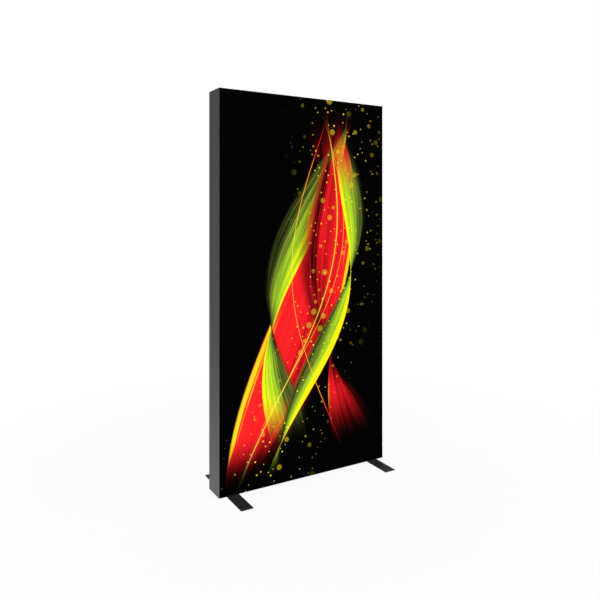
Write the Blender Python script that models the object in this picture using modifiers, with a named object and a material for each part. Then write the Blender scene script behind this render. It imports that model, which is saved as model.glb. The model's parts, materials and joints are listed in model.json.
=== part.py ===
"""Free-standing double-sided fabric lightbox, modelled the way it is put together.

Units are metres and +Z is up. The lit front faces -Y, and left and right are
as seen from the front. The origin is on the floor, under the frame's middle.
"""

import math

import bmesh
import bpy
from mathutils import Matrix, Vector

# Fits that every piece shares
SEAT_GAP = 0.0003
END_GAP = 0.0004
CUT_OVERRUN = 0.001
WELD_DISTANCE = 0.000002

# Frame
FACE_WIDTH = 1.170
FACE_HEIGHT = 2.340
FRAME_DEPTH = 0.150
SECTION_HEIGHT = 0.028
WALL = 0.0018
OUTER_EDGE_RADIUS = 0.0008
GROOVE_WIDTH = 0.0034
GROOVE_DEPTH = 0.014
GROOVE_WALL = 0.0016
NOSE_FLAT = 0.0018
CHAMBER_TOP_WIDTH = 0.030
BED_WIDTH = 0.060
TRACK_WIDTH = 0.0252
TRACK_HEIGHT = 0.0042
TRACK_RIB = 0.0014
TRACK_LIP_THICKNESS = 0.0014
TRACK_LIP_REACH = 0.0026

# Fabric and its sewn bead
FABRIC_THICKNESS = 0.0005
HEM_RELIEF = 0.0015
BEAD_CHAMFER = 0.0006

# Corner brackets and splice bars
BRACKET_THICKNESS = 0.008
BRACKET_FILLET = 0.006
BRACKET_TAIL = 0.030
BRACKET_EDGE = 0.0006
SPLICE_LENGTH = 0.200
SET_HOLE_RADIUS = 0.0025
ACCESS_HOLE_RADIUS = 0.0035
SET_HOLE_SHARES = (0.35, 0.90)

# Feet, their screws and pads
FOOT_LENGTH = 0.532
FOOT_WIDTH = 0.075
FOOT_THICKNESS = 0.004
FOOT_INSET = 0.0495
FOOT_CORNER_RADIUS = 0.003
FOOT_EDGE = 0.0005
PAD_THICKNESS = 0.001
PAD_LENGTH = 0.030
PAD_MARGIN = 0.004
PAD_CORNER_RADIUS = 0.003
SCREW_RADIUS = 0.003
SCREW_HEAD_RADIUS = 0.006
SCREW_HEAD_HEIGHT = 0.003
SCREW_HEAD_RIM = 0.0004
SCREW_END_SETBACK = 0.001
SCREW_TIP_CHAMFER = 0.0005
SOCKET_RADIUS = 0.0023
SOCKET_DEPTH = 0.002

# Stabiliser across the middle
STABILISER_RADIUS = 0.0125
STABILISER_WALL = 0.0015
STABILISER_DROP = 0.150
STABILISER_LAP = 0.020
STABILISER_PLATE_HEIGHT = 0.060
STABILISER_PLATE_THICKNESS = 0.004
STABILISER_PLATE_CORNER = 0.006
STABILISER_SOCKET_LENGTH = 0.025
STABILISER_SOCKET_WALL = 0.003

# Light: bars in the uprights' tracks, driver on the bottom rail, leads
LED_BAR_HEIGHT = 0.010
LED_LENS_RADIUS = 0.006
LED_LENS_TOP_RADIUS = 0.004
LED_LENS_HEIGHT = 0.004
LED_LENS_PITCH = 0.060
LED_LENS_ROOT = 0.0005
LED_CLEARANCE = 0.090
LED_TOP_MARGIN = 0.080
DRIVER_LENGTH = 0.190
DRIVER_HEIGHT = 0.028
DRIVER_SIDE_GAP = 0.004
DRIVER_EAR_LENGTH = 0.012
DRIVER_EAR_THICKNESS = 0.002
DRIVER_EAR_INSET = 0.008
DRIVER_EDGE = 0.002
MAINS_LEAD_RADIUS = 0.0035
LOW_VOLTAGE_LEAD_RADIUS = 0.0025
LEAD_BEND = 0.035
LEAD_EASE = 0.0175
LEAD_RISE = 0.105
LEAD_CROSSING = 0.0675

# Power inlet on the right upright
MODULE_HEIGHT_ABOVE_BASE = 0.160
FLANGE_THICKNESS = 0.0025
FLANGE_OVERHANG = 0.003
FLANGE_CORNER_RADIUS = 0.002
FLANGE_EDGE = 0.0006
HOUSING_WALL = 0.0018
HOUSING_BACK = 0.010
BAY_WEB = 0.0024
BARB_LENGTH = 0.008
BARB_HEIGHT = 0.0012
BARB_RUN = 0.005
INLET_WIDTH = 0.0244
INLET_HEIGHT = 0.0166
INLET_DEPTH = 0.017
INLET_CHAMFER = 0.0045
BLADE_WIDTH = 0.002
BLADE_HEIGHT = 0.004
BLADE_SPACING = 0.014
BLADE_EARTH_RISE = 0.004
BLADE_SETBACK = 0.003
BLADE_ROOT = 0.007
BLADE_TIP = 0.0006
DRAWER_WIDTH = 0.022
DRAWER_HEIGHT = 0.0086
DRAWER_LENGTH = 0.023
DRAWER_NOTCH_WIDTH = 0.008
DRAWER_NOTCH_HEIGHT = 0.0022
DRAWER_NOTCH_DEPTH = 0.0015
FUSE_RADIUS = 0.0025
FUSE_LENGTH = 0.0195
FUSE_CAP_LENGTH = 0.005
FUSE_CAP_RISE = 0.0002
FUSE_BEHIND_FACE = 0.012
ROCKER_REACH = 0.0094
ROCKER_WIDTH = 0.0128
ROCKER_VALLEY = 0.003
ROCKER_TONGUE = 0.006
ROCKER_TONGUE_HALF_WIDTH = 0.004
ROCKER_EDGE = 0.0004
TRUNNION_RADIUS = 0.0015
TRUNNION_LENGTH = 0.0012

# Angles and facet counts
ROCKER_TILT_DEGREES = 8.0
ROCKER_SKIRT_DEGREES = 20.0
SHARP_DEGREES = 35.0
ARC_STEPS = 4
HOLE_SIDES = 8
ROUND_SIDES = 20
LENS_SIDES = 8
SOCKET_SIDES = 6
LEAD_RESOLUTION = 2
LEAD_STEPS = 5

# Places that follow from the sizes
FRAME_BASE = PAD_THICKNESS + FOOT_THICKNESS + 2 * SEAT_GAP
HALF_WIDTH = FACE_WIDTH / 2
HALF_DEPTH = FRAME_DEPTH / 2
HALF_BED = BED_WIDTH / 2
SEAM_HEIGHT = FRAME_BASE + FACE_HEIGHT / 2
NOSE_RECESS = FABRIC_THICKNESS + SEAT_GAP
CHANNEL_OUTER = HALF_DEPTH - GROOVE_DEPTH - GROOVE_WALL
CHANNEL_INNER = HALF_BED + WALL
CHANNEL_CENTRE = (CHANNEL_OUTER + CHANNEL_INNER) / 2
CHANNEL_FIT_WIDTH = CHANNEL_OUTER - CHANNEL_INNER - 2 * SEAT_GAP
CHANNEL_SEAT = WALL + SEAT_GAP
FOOT_CENTRE = FOOT_INSET + FOOT_WIDTH / 2
BRACKET_LEG = FOOT_CENTRE + BRACKET_TAIL

DRAWER_SLOT_HEIGHT = DRAWER_HEIGHT + 2 * SEAT_GAP
DRAWER_SLOT_WIDTH = DRAWER_WIDTH + 2 * SEAT_GAP
ROCKER_BAY_HEIGHT = ROCKER_WIDTH + 2 * SEAT_GAP
ROCKER_BAY_WIDTH = 2 * (ROCKER_REACH + SEAT_GAP)
ROCKER_BAY_DEPTH = ROCKER_VALLEY + ROCKER_REACH + SEAT_GAP
HOUSING_WIDTH = max(INLET_WIDTH, DRAWER_SLOT_WIDTH, ROCKER_BAY_WIDTH) + 2 * HOUSING_WALL
HOUSING_HEIGHT = HOUSING_WALL + INLET_HEIGHT + DRAWER_SLOT_HEIGHT + ROCKER_BAY_HEIGHT + 3 * BAY_WEB
HOUSING_DEPTH = max(INLET_DEPTH + HOUSING_BACK, DRAWER_LENGTH + SEAT_GAP + HOUSING_WALL)
MODULE_HEIGHT = FRAME_BASE + MODULE_HEIGHT_ABOVE_BASE
MODULE_FACE = HALF_WIDTH + SEAT_GAP + FLANGE_THICKNESS
INLET_CENTRE = MODULE_HEIGHT - HOUSING_HEIGHT / 2 + HOUSING_WALL + INLET_HEIGHT / 2
DRAWER_CENTRE = INLET_CENTRE + INLET_HEIGHT / 2 + BAY_WEB + DRAWER_SLOT_HEIGHT / 2
ROCKER_CENTRE = DRAWER_CENTRE + DRAWER_SLOT_HEIGHT / 2 + BAY_WEB + ROCKER_BAY_HEIGHT / 2
LED_START = MODULE_HEIGHT + HOUSING_HEIGHT / 2 + LED_CLEARANCE

X = Vector((1, 0, 0))
Y = Vector((0, 1, 0))
Z = Vector((0, 0, 1))
SIDES = {"left": -1, "right": 1}
FACES = {"front": -1, "rear": 1}


def new_collection(name):
    collection = bpy.data.collections.new(name)
    bpy.context.scene.collection.children.link(collection)
    return collection


for old in list(bpy.data.objects):
    bpy.data.objects.remove(old)
PARTS = new_collection("lightbox_wall")
CUTTERS = new_collection("cutters")
ROOT = bpy.data.objects.new("lightbox_wall_origin", None)
PARTS.objects.link(ROOT)


def finish(name, colour, roughness, metallic=0.0):
    """Principled material in one colour."""
    material = bpy.data.materials.new(name)
    material.use_nodes = True
    shader = material.node_tree.nodes["Principled BSDF"]
    shader.inputs["Base Color"].default_value = (*colour, 1.0)
    shader.inputs["Roughness"].default_value = roughness
    shader.inputs["Metallic"].default_value = metallic
    return material


ANODISED = finish("anodised_profile", (0.13, 0.13, 0.135), 0.42, 0.9)
CAST = finish("bracket_aluminium", (0.55, 0.56, 0.58), 0.5, 0.9)
FOOT_COAT = finish("foot_coating", (0.02, 0.02, 0.021), 0.5)
SCREW_STEEL = finish("screw_steel", (0.35, 0.35, 0.36), 0.35, 1.0)
PRINT = finish("front_print", (0.03, 0.03, 0.03), 0.8)
LINER = finish("rear_liner", (0.012, 0.012, 0.013), 0.9)
SILICONE = finish("silicone", (0.75, 0.75, 0.72), 0.6)
RUBBER = finish("pad_rubber", (0.02, 0.02, 0.02), 0.85)
LED_BOARD = finish("led_bar", (0.8, 0.8, 0.8), 0.4, 0.3)
DRIVER_CASE = finish("driver_case", (0.6, 0.61, 0.62), 0.45, 0.8)
LEAD_JACKET = finish("lead_jacket", (0.02, 0.02, 0.02), 0.6)
INLET_PLASTIC = finish("inlet_plastic", (0.018, 0.018, 0.019), 0.45)
BLADE_PLATING = finish("blade_plating", (0.66, 0.64, 0.6), 0.25, 1.0)
FUSE_CERAMIC = finish("fuse_ceramic", (0.8, 0.79, 0.75), 0.35)


def place(obj, material, matrix=None):
    """Puts a finished piece in the model."""
    obj.data.materials.clear()
    obj.data.materials.append(material)
    PARTS.objects.link(obj)
    obj.parent = ROOT
    if matrix is not None:
        obj.matrix_world = matrix
    return obj


def axes(origin, x_axis, y_axis, z_axis):
    """Matrix that puts a piece's own axes along three given directions."""
    turn = Matrix((x_axis, y_axis, z_axis)).transposed().to_4x4()
    return Matrix.Translation(origin) @ turn


def facing_out(origin):
    """Own X along the depth, own Y up and own Z out of the right side."""
    return axes(origin, Y, Z, X)


def arc(centre, radius, start_degrees, end_degrees, steps=ARC_STEPS):
    """Points of an arc, both ends included."""
    points = []
    for i in range(steps + 1):
        angle = math.radians(start_degrees + (end_degrees - start_degrees) * i / steps)
        points.append((centre[0] + radius * math.cos(angle), centre[1] + radius * math.sin(angle)))
    return points


def rounded_rectangle(width, height, radius):
    x = width / 2 - radius
    y = height / 2 - radius
    return (
        arc((x, y), radius, 0, 90)
        + arc((-x, y), radius, 90, 180)
        + arc((-x, -y), radius, 180, 270)
        + arc((x, -y), radius, 270, 360)
    )


def mesh_object(name, build):
    """Object whose mesh a function fills, shaded smooth between its sharp edges."""
    mesh = bpy.data.meshes.new(name)
    work = bmesh.new()
    build(work)
    bmesh.ops.recalc_face_normals(work, faces=work.faces)
    work.to_mesh(mesh)
    work.free()
    mesh.shade_smooth()
    mesh.set_sharp_from_angle(angle=math.radians(SHARP_DEGREES))
    return bpy.data.objects.new(name, mesh)


def extrusion(name, outlines, length):
    """Closed outlines in XY, holes included, drawn out along +Z from zero to length."""
    curve = bpy.data.curves.new(name, "CURVE")
    curve.dimensions = "2D"
    curve.fill_mode = "BOTH"
    curve.extrude = length / 2
    for outline in outlines:
        spline = curve.splines.new("POLY")
        spline.points.add(len(outline) - 1)
        for point, (x, y) in zip(spline.points, outline):
            point.co = (x, y, 0, 1)
        spline.use_cyclic_u = True
    guide = bpy.data.objects.new(name + "_guide", curve)
    bpy.context.scene.collection.objects.link(guide)
    evaluated = guide.evaluated_get(bpy.context.evaluated_depsgraph_get())
    filled = bpy.data.meshes.new_from_object(evaluated)

    def build(work):
        work.from_mesh(filled)
        bmesh.ops.translate(work, verts=work.verts, vec=(0, 0, length / 2))
        bmesh.ops.remove_doubles(work, verts=work.verts, dist=WELD_DISTANCE)

    solid = mesh_object(name, build)
    bpy.data.objects.remove(guide)
    bpy.data.meshes.remove(filled)
    return solid


def box(name, low, high):
    """Box between two corners, with its origin at its middle."""
    low, high = Vector(low), Vector(high)

    def build(work):
        bmesh.ops.create_cube(work, size=1.0)
        bmesh.ops.scale(work, verts=work.verts, vec=high - low)

    solid = mesh_object(name, build)
    solid.location = (low + high) / 2
    return solid


def rod(name, radius, length, matrix, sides=ROUND_SIDES):
    """Round bar along its own Z, centred on its origin."""

    def build(work):
        bmesh.ops.create_cone(
            work, cap_ends=True, segments=sides, radius1=radius, radius2=radius, depth=length
        )

    solid = mesh_object(name, build)
    solid.matrix_world = matrix
    return solid


def turned(name, profile, sides=ROUND_SIDES):
    """Profile of (radius, height) points, top to bottom, turned about Z."""

    def build(work):
        points = [work.verts.new((radius, 0, height)) for radius, height in profile]
        for first, second in zip(points, points[1:]):
            work.edges.new((first, second))
        if profile[0][0] > 0:
            work.edges.new((points[-1], points[0]))

    solid = mesh_object(name, build)
    screw = solid.modifiers.new("Turn", "SCREW")
    screw.steps = sides
    screw.render_steps = sides
    screw.use_merge_vertices = True
    screw.merge_threshold = WELD_DISTANCE
    return solid


def bevel(obj, width, segments=2):
    modifier = obj.modifiers.new("Edge", "BEVEL")
    modifier.width = width
    modifier.segments = segments
    modifier.limit_method = "ANGLE"
    modifier.angle_limit = math.radians(SHARP_DEGREES)
    return obj


def as_tool(tool):
    """Keeps a cutter or a joining shape out of the model."""
    if tool.name not in CUTTERS.objects:
        CUTTERS.objects.link(tool)
    tool.hide_render = True
    tool.display_type = "WIRE"
    return tool


def combine(obj, tool, operation):
    modifier = obj.modifiers.new(operation.title(), "BOOLEAN")
    modifier.operation = operation
    modifier.solver = "EXACT"
    modifier.object = as_tool(tool)
    return obj


def cut(obj, *tools):
    for tool in tools:
        combine(obj, tool, "DIFFERENCE")
    return obj


def join(obj, *tools):
    for tool in tools:
        combine(obj, tool, "UNION")
    return obj


def frame_section():
    """Outer outline and two chambers of the profile: x across the depth, y in from the outer face."""
    groove_far = WALL + GROOVE_WIDTH
    nose = Vector((-HALF_DEPTH + NOSE_RECESS, groove_far + NOSE_FLAT))
    brow = Vector((-HALF_BED - CHAMBER_TOP_WIDTH, SECTION_HEIGHT))
    track_outer = TRACK_WIDTH / 2 + TRACK_RIB
    track_mouth = TRACK_WIDTH / 2 - TRACK_LIP_REACH
    track_top = WALL + TRACK_HEIGHT
    corner = (-HALF_DEPTH + OUTER_EDGE_RADIUS, OUTER_EDGE_RADIUS)
    front_half = arc(corner, OUTER_EDGE_RADIUS, 270, 180) + [
        (-HALF_DEPTH, WALL),
        (-HALF_DEPTH + GROOVE_DEPTH, WALL),
        (-HALF_DEPTH + GROOVE_DEPTH, groove_far),
        (nose.x, groove_far),
        tuple(nose),
        tuple(brow),
        (-HALF_BED, SECTION_HEIGHT),
        (-HALF_BED, WALL),
        (-track_outer, WALL),
        (-track_outer, track_top),
        (-track_mouth, track_top),
        (-track_mouth, track_top - TRACK_LIP_THICKNESS),
        (-TRACK_WIDTH / 2, track_top - TRACK_LIP_THICKNESS),
        (-TRACK_WIDTH / 2, WALL),
    ]

    slope = (brow - nose).normalized()
    inside = nose + WALL * Vector((slope.y, -slope.x))
    shelf = groove_far + GROOVE_WALL
    ceiling = SECTION_HEIGHT - WALL

    def on_slope(height):
        return (inside.x + slope.x * (height - inside.y) / slope.y, height)

    front_chamber = [
        on_slope(shelf),
        on_slope(ceiling),
        (-CHANNEL_INNER, ceiling),
        (-CHANNEL_INNER, WALL),
        (-CHANNEL_OUTER, WALL),
        (-CHANNEL_OUTER, shelf),
    ]

    def mirrored(points):
        return [(-x, y) for x, y in reversed(points)]

    return [front_half + mirrored(front_half), front_chamber, mirrored(front_chamber)]


def member(name, start, run, inward, length, mitre_start, mitre_end):
    """Length of profile along run, whose mitred ends are its straight ends drawn back at 45 degrees."""
    solid = extrusion(name, frame_section(), length)
    for vertex in solid.data.vertices:
        if vertex.co.z < length / 2:
            if mitre_start:
                vertex.co.z += vertex.co.y
        elif mitre_end:
            vertex.co.z -= vertex.co.y
    return place(solid, ANODISED, axes(start, inward.cross(run), inward, run))


def build_frame():
    """Two rails and two uprights, each upright in two lengths that meet at mid height."""
    rail_length = FACE_WIDTH - END_GAP
    half_height = (FACE_HEIGHT - 2 * END_GAP) / 2
    frame_top = FRAME_BASE + FACE_HEIGHT
    rail_start = -HALF_WIDTH + END_GAP / 2
    pieces = {
        "bottom_rail": member("bottom_rail", (rail_start, 0, FRAME_BASE), X, Z, rail_length, True, True),
        "top_rail": member("top_rail", (rail_start, 0, frame_top), X, -Z, rail_length, True, True),
    }
    for side, sign in SIDES.items():
        lower_start = (sign * HALF_WIDTH, 0, FRAME_BASE + END_GAP / 2)
        upper_start = (sign * HALF_WIDTH, 0, SEAM_HEIGHT + END_GAP / 2)
        lower = side + "_upright_lower"
        upper = side + "_upright_upper"
        pieces[lower] = member(lower, lower_start, Z, -sign * X, half_height, True, False)
        pieces[upper] = member(upper, upper_start, Z, -sign * X, half_height, False, True)
    return pieces


def cut_holes(solid, name, centres, direction, radius, thickness):
    """Round holes through a wall of that thickness, about points in its middle."""

    def build(work):
        for centre in centres:
            bmesh.ops.create_cone(
                work,
                cap_ends=True,
                segments=HOLE_SIDES,
                radius1=radius,
                radius2=radius,
                depth=thickness + 2 * CUT_OVERRUN,
                matrix=axes(centre, Y, direction.cross(Y), direction),
            )

    cut(solid, mesh_object(name, build))


def cut_set_holes(bar, channel, name, places, inward):
    """Tapped holes in a bar that lies in a channel, and holes in its inner wall to reach them."""
    in_bar = [spot + (CHANNEL_SEAT + BRACKET_THICKNESS / 2) * inward for spot in places]
    in_wall = [spot + (SECTION_HEIGHT - WALL / 2) * inward for spot in places]
    cut_holes(bar, name + "_set_holes", in_bar, inward, SET_HOLE_RADIUS, BRACKET_THICKNESS)
    cut_holes(channel, name + "_access_holes", in_wall, inward, ACCESS_HOLE_RADIUS, WALL)


def build_corner_brackets(frame):
    """An L-shaped bracket in the front and rear channel of each corner."""
    inner = CHANNEL_SEAT + BRACKET_THICKNESS
    elbow = (inner + BRACKET_FILLET, inner + BRACKET_FILLET)
    outline = [
        (CHANNEL_SEAT, CHANNEL_SEAT),
        (BRACKET_LEG, CHANNEL_SEAT),
        (BRACKET_LEG, inner),
        *arc(elbow, BRACKET_FILLET, 270, 180),
        (inner, BRACKET_LEG),
        (CHANNEL_SEAT, BRACKET_LEG),
    ]
    brackets = {}
    for level, base, rise in (("bottom", FRAME_BASE, 1), ("top", FRAME_BASE + FACE_HEIGHT, -1)):
        for side, sign in SIDES.items():
            for face, front in FACES.items():
                name = f"{level}_{side}_{face}_bracket"
                middle = front * CHANNEL_CENTRE
                along, up = -sign * X, rise * Z
                outward = along.cross(up)
                corner = Vector((sign * HALF_WIDTH, middle, base)) - outward * CHANNEL_FIT_WIDTH / 2
                solid = extrusion(name, [outline], CHANNEL_FIT_WIDTH)
                place(solid, CAST, axes(corner, along, up, outward))
                bevel(solid, BRACKET_EDGE, 1)
                seat = Vector((sign * HALF_WIDTH, middle, base))
                upright = side + ("_upright_lower" if level == "bottom" else "_upright_upper")
                for channel, run, inward in ((level + "_rail", along, up), (upright, up, along)):
                    places = [seat + share * BRACKET_LEG * run for share in SET_HOLE_SHARES]
                    cut_set_holes(solid, frame[channel], f"{name}_{channel}", places, inward)
                brackets[name] = solid
    return brackets


def build_splices(frame):
    """Flat bars that carry each upright across its mid joint."""
    for side, sign in SIDES.items():
        for face, front in FACES.items():
            name = f"{side}_{face}_splice"
            outer = sign * (HALF_WIDTH - CHANNEL_SEAT)
            inner = outer - sign * BRACKET_THICKNESS
            half_fit = CHANNEL_FIT_WIDTH / 2
            middle = front * CHANNEL_CENTRE
            low = (min(outer, inner), middle - half_fit, SEAM_HEIGHT - SPLICE_LENGTH / 2)
            high = (max(outer, inner), middle + half_fit, SEAM_HEIGHT + SPLICE_LENGTH / 2)
            solid = place(box(name, low, high), CAST)
            bevel(solid, BRACKET_EDGE, 1)
            seat = Vector((sign * HALF_WIDTH, middle, SEAM_HEIGHT))
            for level, rise in (("lower", -1), ("upper", 1)):
                places = [seat + rise * share * SPLICE_LENGTH / 2 * Z for share in SET_HOLE_SHARES]
                channel = frame[f"{side}_upright_{level}"]
                cut_set_holes(solid, channel, f"{name}_{level}", places, -sign * X)


def build_fabrics():
    """Each fabric is a shallow tray: the face, and the hem that turns into the groove."""
    width = FACE_WIDTH - 2 * (WALL + SEAT_GAP)
    height = FACE_HEIGHT - 2 * (WALL + SEAT_GAP)
    depth = GROOVE_DEPTH - HEM_RELIEF
    for name, front, material in (("front_fabric", -1, PRINT), ("rear_fabric", 1, LINER)):

        def build(work):
            bmesh.ops.create_cube(work, size=1.0)
            bmesh.ops.scale(work, verts=work.verts, vec=(width, depth, height))
            back = [face for face in work.faces if round(face.normal.y) == -front]
            bmesh.ops.delete(work, geom=back, context="FACES_ONLY")

        cloth = mesh_object(name, build)
        cloth.location = (0, front * (HALF_DEPTH - depth / 2), FRAME_BASE + FACE_HEIGHT / 2)
        shell = cloth.modifiers.new("Cloth", "SOLIDIFY")
        shell.thickness = FABRIC_THICKNESS
        shell.offset = -1
        place(cloth, material)


def build_beads():
    """Silicone strips sewn inside the hems, which hold the fabrics in the grooves."""
    thickness = GROOVE_WIDTH - FABRIC_THICKNESS - 3 * SEAT_GAP
    depth = GROOVE_DEPTH - FABRIC_THICKNESS - 2 * SEAT_GAP
    offset = WALL + FABRIC_THICKNESS + 2 * SEAT_GAP
    outline = [
        (0, 0),
        (thickness, 0),
        (thickness, depth - BEAD_CHAMFER),
        (thickness - BEAD_CHAMFER, depth),
        (BEAD_CHAMFER, depth),
        (0, depth - BEAD_CHAMFER),
    ]
    across = FACE_WIDTH - 2 * offset
    upward = FACE_HEIGHT - 2 * (offset + thickness + SEAT_GAP)
    for face, front in FACES.items():
        into = -front * Y
        start = front * (HALF_DEPTH - NOSE_RECESS)
        side_start = FRAME_BASE + offset + thickness + SEAT_GAP
        edges = (
            ("bottom", (-across / 2, start, FRAME_BASE + offset), Z, across),
            ("top", (-across / 2, start, FRAME_BASE + FACE_HEIGHT - offset), -Z, across),
            ("left", (-HALF_WIDTH + offset, start, side_start), X, upward),
            ("right", (HALF_WIDTH - offset, start, side_start), -X, upward),
        )
        for edge, origin, inward, length in edges:
            name = f"{face}_{edge}_bead"
            run = X if edge in ("bottom", "top") else Z
            along = inward.cross(into)
            shift = origin if along.dot(run) > 0 else tuple(Vector(origin) + length * run)
            place(extrusion(name, [outline], length), SILICONE, axes(shift, inward, into, along))


def screw_profile(grow, top, recess):
    """Half section of a countersunk screw, or of its hole where grow is more than zero."""
    head_top = recess + SCREW_HEAD_HEIGHT
    tip = SCREW_RADIUS + grow - (0 if grow else SCREW_TIP_CHAMFER)
    return [
        (0, top),
        (tip, top),
        (SCREW_RADIUS + grow, top - SCREW_TIP_CHAMFER),
        (SCREW_RADIUS + grow, head_top),
        (SCREW_HEAD_RADIUS + grow, recess + SCREW_HEAD_RIM),
        (SCREW_HEAD_RADIUS + grow, recess if not grow else -CUT_OVERRUN),
        (0, recess if not grow else -CUT_OVERRUN),
    ]


def build_feet(frame, brackets):
    """Flat steel feet with rubber pads, screwed through the bottom rail into the corner brackets."""
    underside = PAD_THICKNESS + SEAT_GAP
    bracket_top = FOOT_THICKNESS + SEAT_GAP + CHANNEL_SEAT + BRACKET_THICKNESS
    for side, sign in SIDES.items():
        middle = sign * (HALF_WIDTH - FOOT_CENTRE)
        outline = rounded_rectangle(FOOT_WIDTH, FOOT_LENGTH, FOOT_CORNER_RADIUS)
        foot = extrusion(side + "_foot", [outline], FOOT_THICKNESS)
        place(foot, FOOT_COAT, Matrix.Translation((middle, 0, underside)))
        bevel(foot, FOOT_EDGE)
        for face, front in FACES.items():
            spot = Matrix.Translation((middle, front * CHANNEL_CENTRE, underside))
            name = f"{side}_{face}_foot_screw"
            profile = screw_profile(0, bracket_top - SCREW_END_SETBACK, SEAT_GAP)
            screw = place(turned(name, profile), SCREW_STEEL, spot)
            socket = rod(name + "_socket", SOCKET_RADIUS, 2 * SOCKET_DEPTH, spot, SOCKET_SIDES)
            cut(screw, socket)
            hole = turned(name + "_hole", screw_profile(SEAT_GAP, bracket_top + CUT_OVERRUN, SEAT_GAP))
            hole.matrix_world = spot
            cut(foot, hole)
            cut(frame["bottom_rail"], hole)
            cut(brackets[f"bottom_{side}_{face}_bracket"], hole)

            pad_outline = rounded_rectangle(FOOT_WIDTH - 2 * PAD_MARGIN, PAD_LENGTH, PAD_CORNER_RADIUS)
            pad = extrusion(f"{side}_{face}_pad", [pad_outline], PAD_THICKNESS)
            pad_middle = front * (FOOT_LENGTH / 2 - PAD_MARGIN - PAD_LENGTH / 2)
            place(pad, RUBBER, Matrix.Translation((middle, pad_middle, 0)))


def build_stabiliser():
    """Tube across the frame, in sockets on plates that seat on both chambers of an upright."""
    height = SEAM_HEIGHT - STABILISER_DROP
    plate_face = HALF_WIDTH - SECTION_HEIGHT - SEAT_GAP - STABILISER_PLATE_THICKNESS
    outline = rounded_rectangle(
        BED_WIDTH + 2 * STABILISER_LAP, STABILISER_PLATE_HEIGHT, STABILISER_PLATE_CORNER
    )
    socket_inner = STABILISER_RADIUS + SEAT_GAP
    socket_outer = socket_inner + STABILISER_SOCKET_WALL
    for side, sign in SIDES.items():
        name = side + "_stabiliser_bracket"
        out = sign * X
        base = axes((sign * plate_face, 0, height), sign * Y, Z, out)
        plate = place(extrusion(name, [outline], STABILISER_PLATE_THICKNESS), CAST, base)
        rooted = STABILISER_PLATE_THICKNESS / 2
        ring = turned(
            name + "_socket",
            [
                (socket_inner, rooted),
                (socket_outer, rooted),
                (socket_outer, -STABILISER_SOCKET_LENGTH),
                (socket_inner, -STABILISER_SOCKET_LENGTH),
            ],
        )
        ring.matrix_world = base
        join(plate, ring)

    length = 2 * (plate_face - SEAT_GAP)
    hollow = STABILISER_RADIUS - STABILISER_WALL
    tube = turned(
        "stabiliser_bar",
        [
            (hollow, length / 2),
            (STABILISER_RADIUS, length / 2),
            (STABILISER_RADIUS, -length / 2),
            (hollow, -length / 2),
        ],
    )
    place(tube, CAST, axes((0, 0, height), Y, Z, X))


def build_led_bars():
    """Bars in the uprights' tracks, each with a row of lenses."""
    foot_half = TRACK_WIDTH / 2 - SEAT_GAP
    stem_half = TRACK_WIDTH / 2 - TRACK_LIP_REACH - SEAT_GAP
    foot_top = TRACK_HEIGHT - TRACK_LIP_THICKNESS - SEAT_GAP
    outline = [
        (-foot_half, SEAT_GAP),
        (foot_half, SEAT_GAP),
        (foot_half, foot_top),
        (stem_half, foot_top),
        (stem_half, LED_BAR_HEIGHT),
        (-stem_half, LED_BAR_HEIGHT),
        (-stem_half, foot_top),
        (-foot_half, foot_top),
    ]
    top_end = FRAME_BASE + FACE_HEIGHT - LED_TOP_MARGIN
    spans = {
        "lower": (LED_START, SEAM_HEIGHT - SEAT_GAP / 2),
        "upper": (SEAM_HEIGHT + SEAT_GAP / 2, top_end),
    }
    for side, sign in SIDES.items():
        for level, (low, high) in spans.items():
            name = f"{side}_{level}_led_bar"
            inward = -sign * X
            seat = axes((sign * (HALF_WIDTH - WALL), 0, low), inward.cross(Z), inward, Z)
            length = high - low
            bar = place(extrusion(name, [outline], length), LED_BOARD, seat)
            count = int(length / LED_LENS_PITCH)
            first = (length - (count - 1) * LED_LENS_PITCH) / 2

            lens_middle = LED_BAR_HEIGHT + (LED_LENS_HEIGHT - LED_LENS_ROOT) / 2
            upright = Matrix.Rotation(math.radians(-90), 4, "X")

            def build(work):
                for i in range(count):
                    middle = (0, lens_middle, first + i * LED_LENS_PITCH)
                    bmesh.ops.create_cone(
                        work,
                        cap_ends=True,
                        segments=LENS_SIDES,
                        radius1=LED_LENS_RADIUS,
                        radius2=LED_LENS_TOP_RADIUS,
                        depth=LED_LENS_HEIGHT + LED_LENS_ROOT,
                        matrix=Matrix.Translation(middle) @ upright,
                    )

            lenses = mesh_object(name + "_lenses", build)
            lenses.matrix_world = seat
            join(bar, lenses)


def build_driver():
    """LED driver on the bottom rail's track, with an ear at each end."""
    seat = FRAME_BASE + WALL + TRACK_HEIGHT + SEAT_GAP
    half_length = DRIVER_LENGTH / 2
    half_width = HALF_BED - DRIVER_SIDE_GAP
    low = (-half_length, -half_width, seat)
    high = (half_length, half_width, seat + DRIVER_HEIGHT)
    driver = place(box("led_driver", low, high), DRIVER_CASE)
    bevel(driver, DRIVER_EDGE)
    ear_end = half_length + DRIVER_EAR_LENGTH
    ear_half = half_width - DRIVER_EAR_INSET
    ears = box(
        "led_driver_ears",
        (-ear_end, -ear_half, seat + SEAT_GAP),
        (ear_end, ear_half, seat + SEAT_GAP + DRIVER_EAR_THICKNESS),
    )
    join(driver, ears)


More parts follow.
